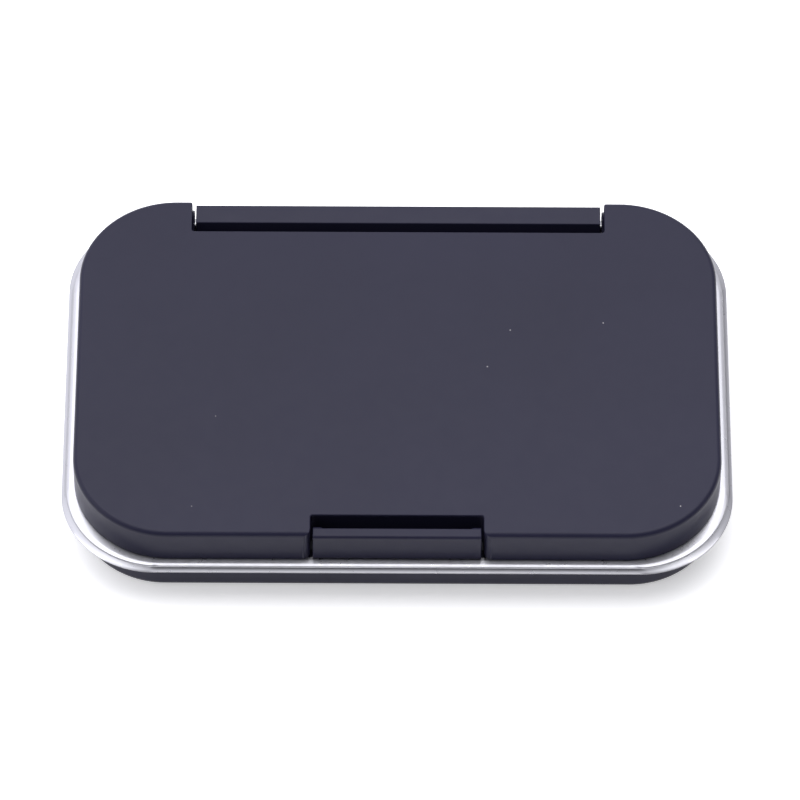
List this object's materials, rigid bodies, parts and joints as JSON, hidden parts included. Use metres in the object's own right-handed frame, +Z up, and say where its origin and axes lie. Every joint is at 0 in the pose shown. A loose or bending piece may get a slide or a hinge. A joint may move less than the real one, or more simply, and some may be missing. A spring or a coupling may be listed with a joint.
{
  "type": "watercolor pan set",
  "caption": "Closed pocket watercolor case: hinged lid with a press-tab latch and a bright trim ring, holding half pans of paint, a mixing palette and a short brush.",
  "frame": {"origin": "middle of the case's underside, on the surface that it stands on", "axes": "+X to the right along the case's length, -Y the front with the press tab, +Y the hinge side, +Z up"},
  "size_m": [0.1244, 0.0816, 0.0175],
  "materials": {
    "case_plastic": "satin, very fine texture",
    "trim_metal": "bright plated",
    "tray_plastic": "fine matt",
    "pan_plastic": "smooth white",
    "palette_plastic": "glossy white",
    "steel": "plain",
    "lacquered_wood": "gloss lacquer",
    "brush_hair": "fine hair",
    "paint_lemon_yellow": "dry pressed watercolour",
    "paint_golden_yellow": "dry pressed watercolour",
    "paint_orange": "dry pressed watercolour",
    "paint_scarlet": "dry pressed watercolour",
    "paint_crimson": "dry pressed watercolour",
    "paint_violet": "dry pressed watercolour",
    "paint_ultramarine": "dry pressed watercolour",
    "paint_sky_blue": "dry pressed watercolour",
    "paint_viridian": "dry pressed watercolour",
    "paint_sap_green": "dry pressed watercolour",
    "paint_yellow_ochre": "dry pressed watercolour",
    "paint_burnt_umber": "dry pressed watercolour"
  },
  "bodies": {
    "case": {"base_shell": "case_plastic", "trim_ring": "trim_metal", "pan_tray": "tray_plastic", "latch_spring": "steel", "pan_lemon_yellow": "pan_plastic", "pan_golden_yellow": "pan_plastic", "pan_orange": "pan_plastic", "pan_scarlet": "pan_plastic", "pan_crimson": "pan_plastic", "pan_violet": "pan_plastic", "pan_ultramarine": "pan_plastic", "pan_sky_blue": "pan_plastic", "pan_viridian": "pan_plastic", "pan_sap_green": "pan_plastic", "pan_yellow_ochre": "pan_plastic", "pan_burnt_umber": "pan_plastic", "paint_lemon_yellow": "paint_lemon_yellow", "paint_golden_yellow": "paint_golden_yellow", "paint_orange": "paint_orange", "paint_scarlet": "paint_scarlet", "paint_crimson": "paint_crimson", "paint_violet": "paint_violet", "paint_ultramarine": "paint_ultramarine", "paint_sky_blue": "paint_sky_blue", "paint_viridian": "paint_viridian", "paint_sap_green": "paint_sap_green", "paint_yellow_ochre": "paint_yellow_ochre", "paint_burnt_umber": "paint_burnt_umber", "brush_handle": "lacquered_wood", "brush_ferrule": "steel", "brush_tuft": "brush_hair"},
    "lid": {"lid_shell": "case_plastic", "mixing_palette": "palette_plastic", "hinge_pin_left": "steel", "hinge_pin_right": "steel"},
    "button": {"latch_button": "case_plastic"}
  },
  "joints": [
    {"name": "lid_hinge", "type": "hinge", "parent": "case", "child": "lid", "pos_m": [0, 0.0355, 0.01365], "axis": [-1, 0, 0], "range_deg": [0, 180]},
    {"name": "button_press", "type": "slide", "parent": "case", "child": "button", "axis": [0, 1, 0], "range_m": [0, 0.0012], "stiffness_N_per_m": 400, "springref_m": -0.0006, "deforming": ["latch_spring"]}
  ]
}
